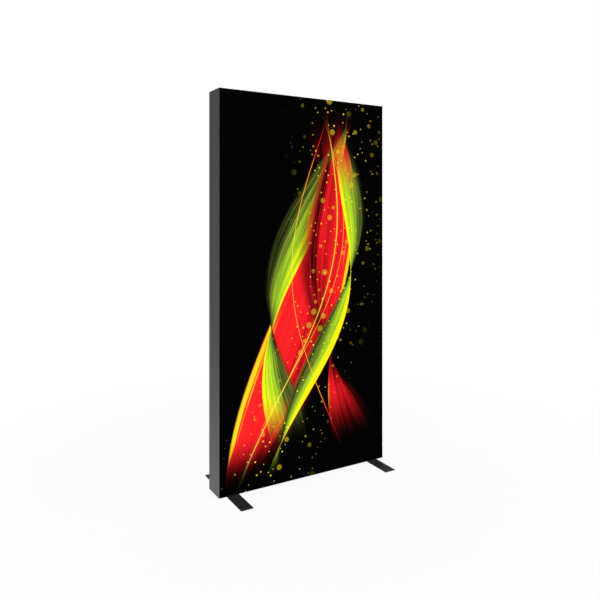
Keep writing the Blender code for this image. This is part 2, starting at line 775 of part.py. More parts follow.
def smooth_route(points):
    """Points along a smooth curve through the route's own points, which never swings past one."""
    corners = [Vector(point) for point in points]
    spans = [(end - start).length for start, end in zip(corners, corners[1:])]
    slopes = [(end - start) / span for start, end, span in zip(corners, corners[1:], spans)]
    tangents = [slopes[0]]
    for before, after in zip(slopes, slopes[1:]):
        tangents.append(Vector([2 * a * b / (a + b) if a * b > 0 else 0 for a, b in zip(before, after)]))
    tangents.append(slopes[-1])
    route = []
    for i, span in enumerate(spans):
        for step in range(LEAD_STEPS):
            t = step / LEAD_STEPS
            route.append(
                (2 * t**3 - 3 * t**2 + 1) * corners[i]
                + (t**3 - 2 * t**2 + t) * span * tangents[i]
                + (3 * t**2 - 2 * t**3) * corners[i + 1]
                + (t**3 - t**2) * span * tangents[i + 1]
            )
    return route + [corners[-1]]


def lead(name, points, radius):
    curve = bpy.data.curves.new(name, "CURVE")
    curve.dimensions = "3D"
    curve.bevel_depth = radius
    curve.bevel_resolution = LEAD_RESOLUTION
    curve.use_fill_caps = True
    route = smooth_route(points)
    spline = curve.splines.new("POLY")
    spline.points.add(len(route) - 1)
    for point, place_of_point in zip(spline.points, route):
        point.co = (*place_of_point, 1)
    return place(bpy.data.objects.new(name, curve), LEAD_JACKET)


def build_leads():
    """Leads along the beds of the profile, beside the track, from inlet to driver to LED bars."""
    driver_end = DRIVER_LENGTH / 2 + SEAT_GAP
    driver_middle = FRAME_BASE + WALL + TRACK_HEIGHT + DRIVER_HEIGHT / 2
    lane = (HALF_BED + TRACK_WIDTH / 2 + TRACK_RIB) / 2
    exit_lane = lane / 2
    middle_lane = (lane + exit_lane) / 2

    mains_bed = FRAME_BASE + WALL + SEAT_GAP + MAINS_LEAD_RADIUS
    back = MODULE_FACE - HOUSING_DEPTH - SEAT_GAP
    mains = [
        (back, 0, INLET_CENTRE),
        (back - LEAD_EASE, 0, INLET_CENTRE),
        (back - LEAD_BEND, exit_lane / 2, INLET_CENTRE - LEAD_BEND),
        (back - LEAD_BEND, exit_lane, INLET_CENTRE - 2 * LEAD_BEND),
        (back - 2 * LEAD_BEND, lane, mains_bed + LEAD_EASE),
        (back - LEAD_BEND - LEAD_RISE, lane, mains_bed),
        ((back + driver_end) / 2, lane, mains_bed),
        (driver_end + LEAD_RISE, lane, mains_bed),
        (driver_end + LEAD_RISE / 2, middle_lane, (mains_bed + driver_middle) / 2),
        (driver_end + LEAD_EASE, exit_lane, driver_middle),
        (driver_end, exit_lane, driver_middle),
    ]
    lead("mains_lead", mains, MAINS_LEAD_RADIUS)

    bed = FRAME_BASE + WALL + SEAT_GAP + LOW_VOLTAGE_LEAD_RADIUS
    wall_bed = HALF_WIDTH - WALL - SEAT_GAP - LOW_VOLTAGE_LEAD_RADIUS
    bar_end = LED_START - SEAT_GAP
    over_track = wall_bed - TRACK_HEIGHT
    for side, sign in SIDES.items():
        run = [
            (driver_end, -exit_lane, driver_middle),
            (driver_end + LEAD_EASE, -exit_lane, driver_middle),
            (driver_end + LEAD_RISE / 2, -middle_lane, (bed + driver_middle) / 2),
            (driver_end + LEAD_RISE, -lane, bed),
            ((driver_end + wall_bed) / 2, -lane, bed),
            (wall_bed - LEAD_RISE, -lane, bed),
            (wall_bed - LEAD_BEND, -lane, bed + LEAD_EASE / 2),
            (wall_bed - LEAD_EASE / 2, -lane, bed + LEAD_BEND),
            (wall_bed, -lane, bed + LEAD_RISE),
            (wall_bed, -lane, bar_end - LED_CLEARANCE),
            (over_track, -lane, bar_end - LEAD_CROSSING),
            (over_track, -exit_lane, bar_end - LED_CLEARANCE / 2),
            (over_track, 0, bar_end - LEAD_EASE),
            (over_track, 0, bar_end),
        ]
        points = [(sign * x, y, z) for x, y, z in run]
        lead(side + "_led_lead", points, LOW_VOLTAGE_LEAD_RADIUS)


def build_inlet(upright):
    """Power inlet: blades, fuse drawer and rocker switch in one housing through the upright's wall."""
    wall_face = Vector((HALF_WIDTH + SEAT_GAP, 0, MODULE_HEIGHT))
    body_back = MODULE_FACE - HOUSING_DEPTH
    half_width = HOUSING_WIDTH / 2
    half_height = HOUSING_HEIGHT / 2
    flange_outline = rounded_rectangle(
        HOUSING_WIDTH + 2 * FLANGE_OVERHANG, HOUSING_HEIGHT + 2 * FLANGE_OVERHANG, FLANGE_CORNER_RADIUS
    )
    housing = extrusion("inlet_housing", [flange_outline], FLANGE_THICKNESS)
    place(housing, INLET_PLASTIC, facing_out(wall_face))
    bevel(housing, FLANGE_EDGE)
    body_low = (body_back, -half_width, MODULE_HEIGHT - half_height)
    body_high = (wall_face.x + FLANGE_THICKNESS / 2, half_width, MODULE_HEIGHT + half_height)
    join(housing, box("inlet_body", body_low, body_high))

    barb_face = HALF_WIDTH - WALL - SEAT_GAP
    barb_outline = [
        (barb_face, half_height - BARB_HEIGHT),
        (barb_face - BARB_RUN, half_height - BARB_HEIGHT),
        (barb_face - BARB_RUN, half_height),
        (barb_face, half_height + BARB_HEIGHT),
    ]
    for edge, sign in (("lower", -1), ("upper", 1)):
        barb = extrusion(f"inlet_{edge}_barb", [barb_outline], BARB_LENGTH)
        corner = Vector((0, sign * BARB_LENGTH / 2, MODULE_HEIGHT))
        barb.matrix_world = axes(corner, X, sign * Z, -sign * Y)
        join(housing, barb)

    opening = box(
        "inlet_cutout",
        (HALF_WIDTH - WALL - TRACK_HEIGHT - CUT_OVERRUN, -half_width - SEAT_GAP, body_low[2] - SEAT_GAP),
        (HALF_WIDTH + CUT_OVERRUN, half_width + SEAT_GAP, body_high[2] + SEAT_GAP),
    )
    cut(upright, opening)

    half_inlet = INLET_WIDTH / 2
    high_inlet = INLET_HEIGHT / 2
    mouth = [
        (-half_inlet, -high_inlet),
        (half_inlet, -high_inlet),
        (half_inlet, high_inlet - INLET_CHAMFER),
        (half_inlet - INLET_CHAMFER, high_inlet),
        (-half_inlet + INLET_CHAMFER, high_inlet),
        (-half_inlet, high_inlet - INLET_CHAMFER),
    ]
    floor = MODULE_FACE - INLET_DEPTH
    cavity = extrusion("inlet_cavity", [mouth], INLET_DEPTH + CUT_OVERRUN)
    cavity.matrix_world = facing_out((floor, 0, INLET_CENTRE))
    cut(housing, cavity)

    blades = {
        "line_blade": (-BLADE_SPACING / 2, -BLADE_EARTH_RISE / 2),
        "neutral_blade": (BLADE_SPACING / 2, -BLADE_EARTH_RISE / 2),
        "earth_blade": (0, BLADE_EARTH_RISE / 2),
    }
    for name, (across, up) in blades.items():
        height = INLET_CENTRE + up
        low = Vector((floor - BLADE_ROOT, across - BLADE_WIDTH / 2, height - BLADE_HEIGHT / 2))
        high = Vector((MODULE_FACE - BLADE_SETBACK, across + BLADE_WIDTH / 2, height + BLADE_HEIGHT / 2))
        blade = place(box(name, low, high), BLADE_PLATING)
        bevel(blade, BLADE_TIP, 1)
        fit = Vector((SEAT_GAP, SEAT_GAP, SEAT_GAP))
        slot_high = Vector((floor + CUT_OVERRUN, high.y, high.z)) + fit
        cut(housing, box(name + "_slot", low - fit, slot_high))

    build_fuse_drawer(housing)
    build_rocker(housing)


def build_fuse_drawer(housing):
    """Drawer that slides out along +X, with the fuse in a cradle open at its top."""
    back = MODULE_FACE - DRAWER_LENGTH
    half_width = DRAWER_WIDTH / 2
    half_height = DRAWER_HEIGHT / 2
    low = Vector((back, -half_width, DRAWER_CENTRE - half_height))
    high = Vector((MODULE_FACE, half_width, DRAWER_CENTRE + half_height))
    drawer = place(box("fuse_drawer", low, high), INLET_PLASTIC)
    fit = Vector((SEAT_GAP, SEAT_GAP, SEAT_GAP))
    slot = box("drawer_slot", low - fit, high + fit + CUT_OVERRUN * X)
    cut(housing, slot)

    notch = box(
        "drawer_notch",
        (MODULE_FACE - DRAWER_NOTCH_DEPTH, -DRAWER_NOTCH_WIDTH / 2, low.z - CUT_OVERRUN),
        (MODULE_FACE + CUT_OVERRUN, DRAWER_NOTCH_WIDTH / 2, low.z + DRAWER_NOTCH_HEIGHT),
    )
    fuse_middle = Vector((MODULE_FACE - FUSE_BEHIND_FACE, 0, DRAWER_CENTRE))
    across = axes(fuse_middle, Z, X, Y)
    cradle_radius = FUSE_RADIUS + FUSE_CAP_RISE + SEAT_GAP
    cradle_half = FUSE_LENGTH / 2 + SEAT_GAP
    cradle = rod("fuse_cradle", cradle_radius, 2 * cradle_half, across)
    trough = box(
        "fuse_trough",
        (fuse_middle.x - cradle_radius, -cradle_half, DRAWER_CENTRE),
        (fuse_middle.x + cradle_radius, cradle_half, high.z + CUT_OVERRUN),
    )
    cut(drawer, notch, cradle, trough)

    half_fuse = FUSE_LENGTH / 2
    body_end = half_fuse - FUSE_CAP_LENGTH
    cap_radius = FUSE_RADIUS + FUSE_CAP_RISE
    fuse = turned(
        "fuse",
        [
            (0, half_fuse),
            (cap_radius, half_fuse),
            (cap_radius, body_end),
            (FUSE_RADIUS, body_end),
            (FUSE_RADIUS, -body_end),
            (cap_radius, -body_end),
            (cap_radius, -half_fuse),
            (0, -half_fuse),
        ],
    )
    place(fuse, FUSE_CERAMIC, across)


def build_rocker(housing):
    """Rocker on two trunnions, resting tilted on its stop, with its origin on the pivot."""
    pivot = Vector((MODULE_FACE - ROCKER_VALLEY, 0, ROCKER_CENTRE))
    tilt = math.radians(ROCKER_TILT_DEGREES)
    valley_degrees = math.degrees(math.asin(ROCKER_VALLEY * math.cos(tilt) / ROCKER_REACH))
    top_degrees = valley_degrees + ROCKER_TILT_DEGREES
    right_end = arc((0, 0), ROCKER_REACH, 90 - top_degrees, 90 + ROCKER_SKIRT_DEGREES)
    left_end = [(x, -y) for x, y in reversed(right_end)]
    outline = [
        (ROCKER_VALLEY, 0),
        *right_end,
        (-ROCKER_TONGUE, ROCKER_TONGUE_HALF_WIDTH),
        (-ROCKER_TONGUE, -ROCKER_TONGUE_HALF_WIDTH),
        *left_end,
    ]
    rocker = extrusion("rocker_switch", [outline], ROCKER_WIDTH)
    for vertex in rocker.data.vertices:
        vertex.co.z -= ROCKER_WIDTH / 2
    rest = Matrix.Translation(pivot) @ Matrix.Rotation(tilt, 4, "Z")
    place(rocker, INLET_PLASTIC, rest)
    bevel(rocker, ROCKER_EDGE, 1)
    trunnion_span = ROCKER_WIDTH + 2 * TRUNNION_LENGTH
    join(rocker, rod("rocker_trunnion", TRUNNION_RADIUS, trunnion_span, rest))

    half_bay = ROCKER_BAY_WIDTH / 2
    bay = box(
        "rocker_bay",
        (MODULE_FACE - ROCKER_BAY_DEPTH, -half_bay, ROCKER_CENTRE - ROCKER_BAY_HEIGHT / 2),
        (MODULE_FACE + CUT_OVERRUN, half_bay, ROCKER_CENTRE + ROCKER_BAY_HEIGHT / 2),
    )
    bore_span = trunnion_span + 2 * SEAT_GAP
    bore = rod("rocker_bore", TRUNNION_RADIUS + SEAT_GAP, bore_span, Matrix.Translation(pivot))
    cut(housing, bay, bore)


def build_lightbox():
    frame = build_frame()
    brackets = build_corner_brackets(frame)
    build_splices(frame)
    build_fabrics()
    build_beads()
    build_feet(frame, brackets)
    build_stabiliser()
    build_led_bars()
    build_driver()
    build_leads()
    build_inlet(frame["right_upright_lower"])


build_lightbox()
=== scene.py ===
"""Looks of the free-standing fabric lightbox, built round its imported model.

Units are metres and +Z is up. The lit front faces -Y. Materials are made of
nodes only, and the two fabrics are meshes that stand for the plain trays.
"""

import json
import math
from collections import namedtuple

import bpy
from mathutils import Euler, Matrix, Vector


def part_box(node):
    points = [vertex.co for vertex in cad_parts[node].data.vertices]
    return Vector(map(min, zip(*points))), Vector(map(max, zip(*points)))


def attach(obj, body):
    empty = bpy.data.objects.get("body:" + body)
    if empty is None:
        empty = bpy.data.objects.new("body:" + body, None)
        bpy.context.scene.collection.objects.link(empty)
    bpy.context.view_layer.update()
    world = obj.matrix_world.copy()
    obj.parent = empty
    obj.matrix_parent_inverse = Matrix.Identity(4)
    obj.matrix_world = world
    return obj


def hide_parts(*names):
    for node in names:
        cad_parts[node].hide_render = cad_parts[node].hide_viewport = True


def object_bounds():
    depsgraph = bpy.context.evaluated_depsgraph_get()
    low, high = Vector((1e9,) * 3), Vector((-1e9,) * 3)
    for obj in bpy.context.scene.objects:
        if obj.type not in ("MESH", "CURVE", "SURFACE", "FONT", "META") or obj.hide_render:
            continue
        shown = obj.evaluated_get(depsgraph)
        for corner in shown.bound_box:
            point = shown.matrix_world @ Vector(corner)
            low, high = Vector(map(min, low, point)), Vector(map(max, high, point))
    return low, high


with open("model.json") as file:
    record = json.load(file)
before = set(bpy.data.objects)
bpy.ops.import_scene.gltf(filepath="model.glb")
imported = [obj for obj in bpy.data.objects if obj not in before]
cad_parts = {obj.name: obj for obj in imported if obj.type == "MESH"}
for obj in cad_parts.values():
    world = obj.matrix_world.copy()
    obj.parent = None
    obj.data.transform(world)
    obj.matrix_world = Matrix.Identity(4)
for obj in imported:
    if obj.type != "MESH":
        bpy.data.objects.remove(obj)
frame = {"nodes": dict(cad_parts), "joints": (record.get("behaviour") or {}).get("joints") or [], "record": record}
cad_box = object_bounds()

NODES = frame["nodes"]
MICROMETRE = 0.000001

# Camera, fitted to the edges of the frame and feet in the photograph
PHOTO_WIDTH = 600
SENSOR_WIDTH = 36.0
FOCAL_PIXELS = 606.2
HORIZON_ROW = 216.12
CAMERA_PLACE = (-1.9313, -3.2814, 1.6138)
CAMERA_TURN_DEGREES = 30.376

# Stage. The floor glows white to the camera, a little less within reach of the object's shadow
WHITE = (1.0, 1.0, 1.0)
WORLD_LIGHT = 0.72
FLOOR_HALF_SIZE = 40.0
FLOOR_PAINT = 0.9
FLOOR_GLOW_SHARE = 0.89
SHADOW_REACH = (1.0, 3.0)

# Each lamp: its place, its two sizes and its power
KEY_LAMP = ((-2.4, -4.2, 3.6), (3.0, 3.0), 60.0)
FILL_LAMP = ((3.4, -3.0, 2.6), (2.5, 2.5), 25.0)
BOUNCE_CARD = ((-1.09, 0.1, 0.004), (1.0, 2.0), 21.4)

# Colours of the materials
ANODISED_GREY = (0.0500, 0.0500, 0.0504)
MILL_GREY = (0.60, 0.61, 0.63)
ZINC_STOPS = [(0.35, (0.46, 0.47, 0.52)), (0.65, (0.58, 0.55, 0.46))]
NICKEL = (0.68, 0.65, 0.60)
POWDER_BLACK = (0.0290, 0.0290, 0.0295)
SILICONE_MILK = (0.78, 0.78, 0.74)
SOLDER_MASK = (0.80, 0.80, 0.78)
BARE_COPPER = (0.62, 0.52, 0.34)
LENS_YELLOW = (0.86, 0.82, 0.55)
CASE_GREY = (0.62, 0.63, 0.64)
FUSE_WHITE = (0.80, 0.79, 0.75)
FUSE_CAP = (0.66, 0.66, 0.67)
DARKEST_INK = (0.0005, 0.0005, 0.0005)
LINER_BLACK = (0.0125, 0.0125, 0.0138)
PRINT_BACK = (0.72, 0.72, 0.70)
LINER_BACK = (0.62, 0.62, 0.61)

# Each plastic or rubber: name, colour, roughness, cells of grain a metre, depth of grain, specular level
PLASTICS = [
    ("pad_rubber", (0.016, 0.016, 0.016), 0.70, 700.0, 80 * MICROMETRE, 0.2),
    ("lead_jacket", (0.014, 0.014, 0.015), 0.42, 900.0, 20 * MICROMETRE, 0.4),
    ("inlet_plastic", (0.016, 0.016, 0.017), 0.44, 1500.0, 40 * MICROMETRE, 0.4),
    ("switch_plastic", (0.018, 0.018, 0.019), 0.20, 1500.0, 8 * MICROMETRE, 0.5),
]
MARK_PLASTIC = ("mark_white", (0.75, 0.75, 0.73), 0.4, 1500.0, 2 * MICROMETRE, 0.4)

# Where the values of a noise mostly lie
NOISE_RANGE = (0.30, 0.70)

# Worn edges: how far from the profile's middle the wear starts and is full,
# and how far from a foot's edge it is full and ends
PROFILE_WEAR = (0.0742, 0.0751)
FOOT_WEAR = (0.0003, 0.0016)

# Lenses and solder pads of the LED bars, and the fuse's caps
LENS_HEIGHT = 0.004
LENS_EDGE_BLUR = 0.0001
PAD_PITCH = 0.0100
PAD_HALF_SHARES = (0.05, 0.07)
PAD_OFFSET = 0.0072
PAD_HALF_WIDTHS = (0.0007, 0.0009)
CAP_LENGTH = 0.0050
CAP_EDGE_BLUR = 0.0001

# Fabric
CLOTH_THICKNESS = 0.0004
CLOTH_GRID = 0.009
CLOTH_EDGE_GRID = (0.003, 0.007, 0.012, 0.018, 0.026)
TURN_RADIUS = 0.0012
TURN_STEPS = 3
CORNER_STEPS = 4
HEM_STEPS = 2
KNIT_PITCH = 0.0011
COURSE_SWAY = 1.6
KNIT_BUMP = 60 * MICROMETRE

# Relief of a stretched face. A reach is where it is full, where it starts to fall, and where it ends.
# Each wave of the puckers: its share of their depth, and how its pitch and phase compare
PUCKER_DEPTH = 0.00035
PUCKER_PITCH = 0.052
PUCKER_REACH = (0.016, 0.020, 0.070)
PUCKER_WAVES = ((0.3, 1.0, 1.0), (0.2, 1.62, 2.3))
FOLD_DEPTH = 0.0004
FOLD_REACH = (0.020, 0.030, 0.150)
FOLDS_PER_TURN = 8

# Where each side of the cloth lies across the unit square of its second map, and the square's margin
OUTER_STRIP = (0.004, 0.90)
INNER_STRIP = (0.912, 0.084)
MAP_MARGIN = 0.004

# Marks on the rocker
ROCKER_VALLEY = 0.003
MARK_RISE = 0.00008
MARK_PLACE = 0.0048
MARK_LINE = 0.0007
MARK_SIZE = 0.0040
RING_STEPS = 24


class Number:
    """A value in a material's nodes, on which arithmetic adds Math nodes."""

    def __init__(self, graph, socket):
        self.graph = graph
        self.socket = socket

    def __add__(self, other):
        return self.graph.math("ADD", self, other)

    def __radd__(self, other):
        return self.graph.math("ADD", other, self)

    def __sub__(self, other):
        return self.graph.math("SUBTRACT", self, other)

    def __rsub__(self, other):
        return self.graph.math("SUBTRACT", other, self)

    def __mul__(self, other):
        return self.graph.math("MULTIPLY", self, other)

    def __rmul__(self, other):
        return self.graph.math("MULTIPLY", other, self)

    def __truediv__(self, other):
        return self.graph.math("DIVIDE", self, other)

    def __abs__(self):
        return self.graph.math("ABSOLUTE", self)


class Graph:
    """The nodes of a material or of the world."""

    def __init__(self, owner):
        owner.use_nodes = True
        self.owner = owner
        self.tree = owner.node_tree

    def put(self, socket, value):
        """Sets a socket to a plain value, or links it."""
        if isinstance(value, Number):
            value = value.socket
        if isinstance(value, bpy.types.NodeSocket):
            self.tree.links.new(value, socket)
        else:
            socket.default_value = value

    def node(self, kind, inputs=(), **settings):
        """Adds a node with those inputs and settings."""
        node = self.tree.nodes.new(kind)
        for key, value in settings.items():
            setattr(node, key, value)
        for key, value in dict(inputs).items():
            self.put(node.inputs[key], value)
        return node

    def shade(self, **inputs):
        """Sets or links the Principled shader's inputs of those names."""
        shader = self.tree.nodes["Principled BSDF"]
        for key, value in inputs.items():
            self.put(shader.inputs[key.replace("_", " ")], value)

    def math(self, operation, *values):
        node = self.node("ShaderNodeMath", enumerate(values), operation=operation)
        return Number(self, node.outputs[0])

    def apart(self, vector):
        """The three numbers of a vector or colour."""
        node = self.node("ShaderNodeSeparateXYZ", {0: vector})
        return [Number(self, socket) for socket in node.outputs]

    def place(self):
        """Object coordinates, in metres, as three numbers."""
        return self.apart(self.node("ShaderNodeTexCoord").outputs["Object"])

    def vector(self, x, y, z):
        return self.node("ShaderNodeCombineXYZ", {0: x, 1: y, 2: z}).outputs[0]

    def noise(self, vector, scale=1.0, detail=2.0, roughness=0.5):
        """Noise with so many cells a metre."""
        inputs = {"Vector": vector, "Scale": scale, "Detail": detail, "Roughness": roughness}
        return Number(self, self.node("ShaderNodeTexNoise", inputs).outputs[0])

    def streaks(self, place, counts, detail=2.0, roughness=0.5):
        """Noise with another number of cells a metre along each axis of the place."""
        vector = self.vector(*[value * count for value, count in zip(place, counts)])
        return self.noise(vector, 1.0, detail, roughness)

    def smooth(self, value, low, high, start=0.0, end=1.0):
        """Goes smoothly from start to end as the value goes from low to high."""
        inputs = {"Value": value, "From Min": low, "From Max": high, "To Min": start, "To Max": end}
        node = self.node("ShaderNodeMapRange", inputs, interpolation_type="SMOOTHSTEP")
        return Number(self, node.outputs["Result"])

    def ramp(self, value, stops):
        """Colour ramp. Each stop is a place and a colour."""
        node = self.node("ShaderNodeValToRGB", {0: value})
        elements = node.color_ramp.elements
        while len(elements) < len(stops):
            elements.new(1.0)
        for element, (position, colour) in zip(elements, stops):
            element.position = position
            element.color = opaque(colour)
        return node.outputs[0]

    def mix(self, factor, first, second, kind="MIX"):
        inputs = {0: factor, 6: first, 7: second}
        return self.node("ShaderNodeMix", inputs, data_type="RGBA", blend_type=kind).outputs[2]

    def tint(self, colour, amount):
        """A colour made lighter or darker by a number."""
        scale = self.node("ShaderNodeVectorMath", {0: colour, 3: amount}, operation="SCALE")
        return scale.outputs[0]

    def bump(self, height, distance):
        """Relief on the shader, of so many metres for a height of one."""
        inputs = {"Height": height, "Distance": distance, "Strength": 1.0}
        self.shade(Normal=self.node("ShaderNodeBump", inputs).outputs[0])


def opaque(colour):
    return (*colour, 1.0)


def surface(name, **plain):
    """Graph of a new material, with plain values set on its shader."""
    g = Graph(bpy.data.materials.new(name))
    g.shade(**plain)
    return g


# Metals
def anodised(name, run):
    """Dark grey satin anodising with the die's faint lines along the profile, worn at its edges."""
    g = surface(name, Metallic=0.0, Specular_IOR_Level=0.03)
    x, y, z = g.place()
    where = g.vector(x, y, z)
    lengthwise = (z, y, x) if run == "Z" else (x, y, z)
    fine = g.smooth(g.streaks(lengthwise, (1.2, 900.0, 900.0), 3.0, 0.6), *NOISE_RANGE)
    broad = g.smooth(g.streaks(lengthwise, (0.5, 130.0, 130.0)), *NOISE_RANGE)
    cloud = g.streaks(lengthwise, (2.0, 14.0, 6.0), 3.0)
    grain = g.noise(where, 5200.0, 1.0)
    worn = g.smooth(abs(y), *PROFILE_WEAR) * g.smooth(g.noise(where, 46.0, 4.0, 0.6), 0.52, 0.66)
    level = 0.87 + 0.13 * fine + 0.08 * broad + 0.05 * cloud + 0.5 * worn
    g.shade(Base_Color=g.tint(ANODISED_GREY, level))
    g.shade(Roughness=0.34 + 0.12 * fine + 0.05 * cloud)
    g.bump(fine + 0.5 * broad + 0.4 * grain, 20 * MICROMETRE)
    return g.owner


def mill_aluminium():
    """Sawn and tumbled aluminium of the brackets, splices and stabiliser."""
    g = surface("mill_aluminium", Metallic=1.0)
    place = g.place()
    where = g.vector(*place)
    tumbled = g.noise(where, 420.0, 4.0, 0.6)
    stain = g.noise(where, 26.0, 3.0)
    scratch = g.streaks(place, (1600.0, 1600.0, 70.0))
    g.shade(Base_Color=g.tint(MILL_GREY, 0.82 + 0.20 * stain + 0.10 * scratch))
    g.shade(Roughness=0.30 + 0.22 * tumbled)
    g.bump(tumbled + 0.5 * scratch, 30 * MICROMETRE)
    return g.owner


def zinc_steel():
    """Zinc plate, faintly yellow and blue where the passivation varies."""
    g = surface("zinc_steel", Metallic=1.0)
    where = g.vector(*g.place())
    patch = g.noise(where, 300.0, 3.0)
    fine = g.noise(where, 2400.0)
    g.shade(Base_Color=g.ramp(patch, ZINC_STOPS))
    g.shade(Roughness=0.24 + 0.20 * fine)
    g.bump(fine, 10 * MICROMETRE)
    return g.owner


def nickel_plate():
    """Nickel on the blades, rubbed along their length."""
    g = surface("nickel_plate", Metallic=1.0)
    rubbed = g.streaks(g.place(), (200.0, 3000.0, 3000.0))
    g.shade(Base_Color=g.tint(NICKEL, 0.86 + 0.22 * rubbed))
    g.shade(Roughness=0.14 + 0.18 * rubbed)
    g.bump(rubbed, 5 * MICROMETRE)
    return g.owner


def driver_case():
    """Extruded aluminium case, brushed along its length."""
    g = surface("driver_case", Metallic=1.0)
    place = g.place()
    brushed = g.streaks(place, (6.0, 1500.0, 1500.0), 3.0, 0.6)
    stain = g.noise(g.vector(*place), 20.0, 3.0)
    g.shade(Base_Color=g.tint(CASE_GREY, 0.80 + 0.22 * brushed + 0.08 * stain))
    g.shade(Roughness=0.28 + 0.18 * brushed)
    g.bump(brushed, 20 * MICROMETRE)
    return g.owner


# Coatings, plastics and ceramic
def powder_coat():
    """Black powder coat with fine orange peel, a little dust, scuffs and worn edges."""
    g = surface("powder_coat", Specular_IOR_Level=0.015)
    x, y, z = g.place()
    where = g.vector(x, y, z)
    peel = g.noise(where, 900.0)
    speck = g.noise(where, 3600.0, 1.0)
    dust = g.smooth(g.noise(where, 24.0, 4.0, 0.6), 0.45, 0.75)
    scuff = g.smooth(g.streaks((x, y, z), (420.0, 26.0, 1.0), 3.0, 0.6), 0.60, 0.70)
    low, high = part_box("right_foot")
    from_side = (high.x - low.x) / 2 - abs(abs(x) - (low.x + high.x) / 2)
    from_end = high.y - abs(y)
    edge = g.smooth(g.math("MINIMUM", from_side, from_end), *FOOT_WEAR, 1.0, 0.0)
    worn = edge * g.smooth(g.noise(where, 130.0, 4.0, 0.6), 0.44, 0.62)
    level = 0.70 + 0.44 * g.smooth(speck, *NOISE_RANGE) + 0.26 * dust + 0.35 * scuff + 2.0 * worn
    g.shade(Base_Color=g.tint(POWDER_BLACK, level))
    g.shade(Roughness=0.26 + 0.14 * peel + 0.20 * dust)
    g.bump(peel + 0.25 * speck, 30 * MICROMETRE)
    return g.owner


def plastic(name, colour, roughness, grain_count, grain_depth, specular):
    """Moulded plastic or rubber: an even colour with a spark-eroded grain and slight flow clouds."""
    g = surface(name, Specular_IOR_Level=specular)
    where = g.vector(*g.place())
    grain = g.noise(where, grain_count, 2.0, 0.6)
    flow = g.noise(where, 60.0, 3.0)
    g.shade(Base_Color=g.tint(colour, 0.88 + 0.12 * grain + 0.14 * flow))
    g.shade(Roughness=roughness + 0.12 * grain + 0.06 * flow)
    g.bump(grain, grain_depth)
    return g.owner


def silicone():
    """Milky silicone strip with a faint bloom."""
    g = surface("silicone", Subsurface_Weight=0.25, Subsurface_Scale=0.002, Specular_IOR_Level=0.4)
    where = g.vector(*g.place())
    bloom = g.noise(where, 90.0, 3.0)
    fine = g.noise(where, 1800.0)
    g.shade(Base_Color=g.tint(SILICONE_MILK, 0.88 + 0.14 * bloom))
    g.shade(Roughness=0.38 + 0.18 * fine)
    g.bump(fine, 10 * MICROMETRE)
    return g.owner


def led_bar():
    """White solder mask on the bar, and smooth clear lenses over yellowish chips."""
    g = surface("led_bar", Specular_IOR_Level=0.5)
    x, y, z = g.place()
    where = g.vector(x, y, z)
    lens_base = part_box("right_lower_led_bar")[0].x + LENS_HEIGHT
    lens = g.smooth(abs(x), lens_base - LENS_EDGE_BLUR, lens_base + LENS_EDGE_BLUR, 1.0, 0.0)
    step = g.math("FRACT", z / PAD_PITCH)
    along = g.smooth(abs(step - 0.5), *PAD_HALF_SHARES, 1.0, 0.0)
    pad = along * g.smooth(abs(abs(y) - PAD_OFFSET), *PAD_HALF_WIDTHS, 1.0, 0.0)
    speck = g.noise(where, 900.0)
    board = g.mix(pad, opaque(SOLDER_MASK), opaque(BARE_COPPER))
    colour = g.mix(lens, board, opaque(LENS_YELLOW))
    g.shade(Base_Color=g.tint(colour, 0.94 + 0.10 * speck))
    g.shade(Roughness=0.34 + 0.12 * speck - 0.28 * lens)
    g.shade(Metallic=pad * 0.9)
    g.bump(speck, 10 * MICROMETRE)
    return g.owner


def fuse_body():
    """White ceramic tube with a plated cap at each end."""
    g = surface("fuse_body", Specular_IOR_Level=0.5)
    x, y, z = g.place()
    cap_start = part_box("fuse")[1].y - CAP_LENGTH
    cap = g.smooth(abs(y), cap_start - CAP_EDGE_BLUR, cap_start + CAP_EDGE_BLUR)
    speck = g.noise(g.vector(x, y, z), 1500.0)
    colour = g.mix(cap, opaque(FUSE_WHITE), opaque(FUSE_CAP))
    g.shade(Base_Color=g.tint(colour, 0.92 + 0.1 * speck))
    g.shade(Metallic=cap)
    g.shade(Roughness=0.20 + 0.15 * speck)
    return g.owner


# Print on the front fabric: ribbons that twist as they sweep across, fine threads and round sparks
RED_STOPS = [
    (0.0, (0.0, 0.0, 0.0)),
    (0.18, (0.060, 0.001, 0.002)),
    (0.40, (0.50, 0.006, 0.009)),
    (0.58, (0.85, 0.011, 0.018)),
    (0.88, (0.88, 0.022, 0.016)),
    (0.96, (1.0, 0.24, 0.010)),
    (1.0, (1.0, 0.62, 0.015)),
]
LIME_STOPS = [
    (0.0, (0.0, 0.0, 0.0)),
    (0.18, (0.025, 0.034, 0.006)),
    (0.40, (0.105, 0.150, 0.020)),
    (0.60, (0.28, 0.46, 0.022)),
    (0.78, (0.36, 0.63, 0.022)),
    (0.92, (0.60, 0.78, 0.014)),
    (1.0, (1.0, 0.88, 0.005)),
]

# A line sways about its middle and leans as it rises. A span is the heights at which a form starts,
# is full, fades and ends. The turns of lines and twists are in radians a metre. Sparks lie in some
# cells of a square grid, which is turned by an angle in radians, and their radius is a share of its pitch
Line = namedtuple("Line", "middle swing turns phase lean")
Span = namedtuple("Span", "start full fade end")
Ribbon = namedtuple("Ribbon", "line span stops half_width twists phase glow depth seed")
Thread = namedtuple("Thread", "line span stops half_width haze")
Sparks = namedtuple("Sparks", "pitch lit_share radius_share strength turn")

